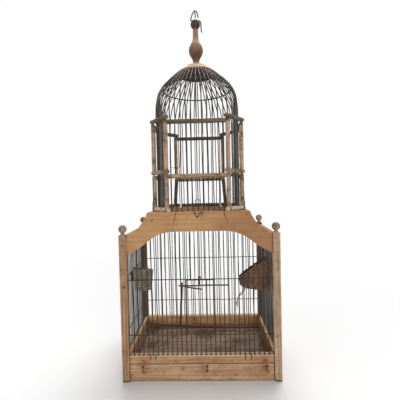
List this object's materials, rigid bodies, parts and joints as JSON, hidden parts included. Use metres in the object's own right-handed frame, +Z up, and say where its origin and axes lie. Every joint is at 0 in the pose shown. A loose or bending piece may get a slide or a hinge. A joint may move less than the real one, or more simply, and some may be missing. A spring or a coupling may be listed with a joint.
{
  "type": "bird cage",
  "caption": "Tall wooden bird cage with wire walls, arched headers, a narrower cut-cornered turret, a wire dome and a turned finial; its tray slides out and its door swings.",
  "frame": {"origin": "on the ground under the middle of the cage", "axes": "+Z up, -Y towards the front with the door and tray, +X to the right seen from the front"},
  "size_m": [0.4235, 0.275, 1.044],
  "materials": {
    "frame_wood": "worn oiled pine",
    "base_wood": "worn brown pine",
    "tray_wood": "stained raw pine",
    "perch_wood": "bare twig",
    "wicker": "woven cane",
    "wire": "dull rusted iron wire"
  },
  "bodies": {
    "cage": {"back_board": "base_wood", "back_header": "frame_wood", "back_wires": "wire", "ball_finials": "frame_wood", "base_ring": "frame_wood", "basket_hangers": "wire", "catch_nails": "wire", "corner_post_back_left": "frame_wood", "corner_post_back_right": "frame_wood", "corner_post_front_left": "frame_wood", "corner_post_front_right": "frame_wood", "cross_wires": "wire", "dome_boss": "frame_wood", "dome_hoop": "wire", "dome_wires_long": "wire", "dome_wires_short": "wire", "front_header": "frame_wood", "front_sill": "base_wood", "front_wires_door": "wire", "front_wires_left": "wire", "front_wires_right": "wire", "left_shoulder": "frame_wood", "left_side_board": "base_wood", "left_top_rail": "frame_wood", "left_turret_sill": "frame_wood", "left_wires": "wire", "low_perch": "perch_wood", "lower_turret_posts": "frame_wood", "middle_ring_rails": "frame_wood", "nest_pocket": "wicker", "perch_arms": "perch_wood", "perch_twig": "perch_wood", "right_shoulder": "frame_wood", "right_side_board": "base_wood", "right_top_rail": "frame_wood", "right_turret_sill": "frame_wood", "right_wires": "wire", "seed_cup": "wicker", "top_finial": "frame_wood", "tray_runners": "base_wood", "turret_wires_back": "wire", "turret_wires_corners": "wire", "turret_wires_front": "wire", "turret_wires_sides": "wire", "upper_ring_rails": "frame_wood", "upper_turret_posts": "frame_wood"},
    "tray": {"tray_back_wall": "tray_wood", "tray_floor": "tray_wood", "tray_front": "base_wood", "tray_left_wall": "tray_wood", "tray_right_wall": "tray_wood", "pivot_nails": "wire"},
    "left_hook": {"tray_hook_left": "wire"},
    "right_hook": {"tray_hook_right": "wire"},
    "pull": {"tray_pull": "wire"},
    "door": {"door_bars": "wire", "door_frame": "wire", "door_hook": "wire"},
    "loop": {"hanging_loop": "wire"},
    "chain": {"nest_chain": "wire"}
  },
  "joints": [
    {"name": "tray_slide", "type": "slide", "parent": "cage", "child": "tray", "axis": [0, -1, 0], "range_m": [0, 0.2]},
    {"name": "door_swing", "type": "hinge", "parent": "cage", "child": "door", "pos_m": [-0.0384, -0.122, 0.196], "axis": [0, 0, -1], "range_deg": [0, 110]},
    {"name": "left_hook_swing", "type": "hinge", "parent": "tray", "child": "left_hook", "pos_m": [-0.156, -0.1303, 0.04], "axis": [0, 1, 0], "range_deg": [-120, 120]},
    {"name": "right_hook_swing", "type": "hinge", "parent": "tray", "child": "right_hook", "pos_m": [0.171, -0.1303, 0.04], "axis": [0, 1, 0], "range_deg": [-120, 120]},
    {"name": "pull_swing", "type": "hinge", "parent": "tray", "child": "pull", "pos_m": [0.014, -0.1303, 0.04], "axis": [0, 1, 0], "range_deg": [-80, 80]},
    {"name": "loop_swing", "type": "hinge", "parent": "cage", "child": "loop", "pos_m": [0, 0, 1.01042], "axis": [1, 0, 0], "range_deg": [-50, 50]},
    {"name": "chain_swing", "type": "hinge", "parent": "cage", "child": "chain", "pos_m": [0.12635, -0.04, 0.2104], "axis": [0, 1, 0], "range_deg": [-22, 22]}
  ]
}
